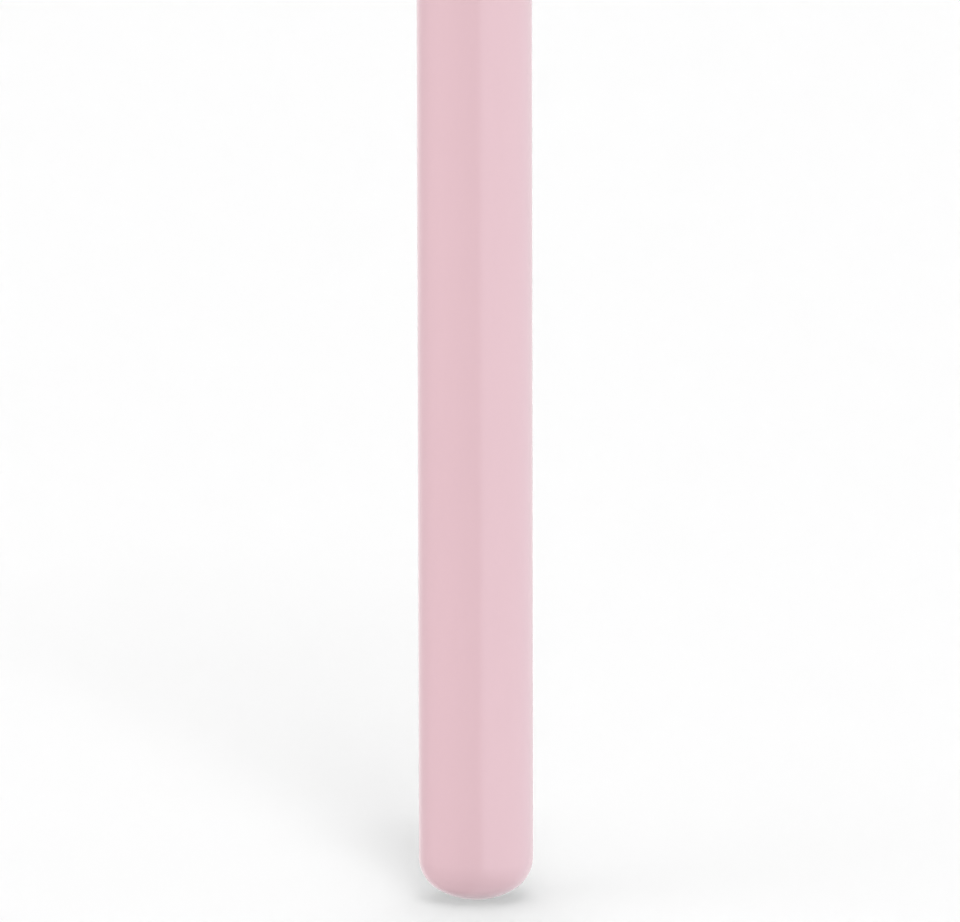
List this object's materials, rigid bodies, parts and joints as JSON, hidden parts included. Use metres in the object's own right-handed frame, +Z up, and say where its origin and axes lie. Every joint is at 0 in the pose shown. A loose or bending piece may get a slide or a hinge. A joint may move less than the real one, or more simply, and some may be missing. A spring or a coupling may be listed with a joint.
{
  "type": "eyeshadow brush",
  "caption": "Slim eyeshadow brush: lacquered wooden handle with a domed end, crimped metal ferrule pressed oval at its mouth, and a cupped tuft of soft hair.",
  "frame": {"origin": "lowest point of the handle's domed end, on the brush's axis", "axes": "+Z up the brush from the domed end to the tip of the hair, +X across the wide side of the tuft, +Y through its thin side"},
  "size_m": [0.0116, 0.008, 0.162],
  "materials": {
    "pink_lacquer": "satin",
    "rose_metal": "satin",
    "adhesive": "matte",
    "clear_resin": "gloss",
    "cotton_thread": "matte",
    "soft_hair": "satin"
  },
  "bodies": {
    "root": {"handle": "pink_lacquer", "ferrule": "rose_metal", "peg_glue": "adhesive", "resin_plug": "clear_resin", "binding_thread": "cotton_thread", "hair_tuft": "soft_hair"}
  },
  "joints": []
}
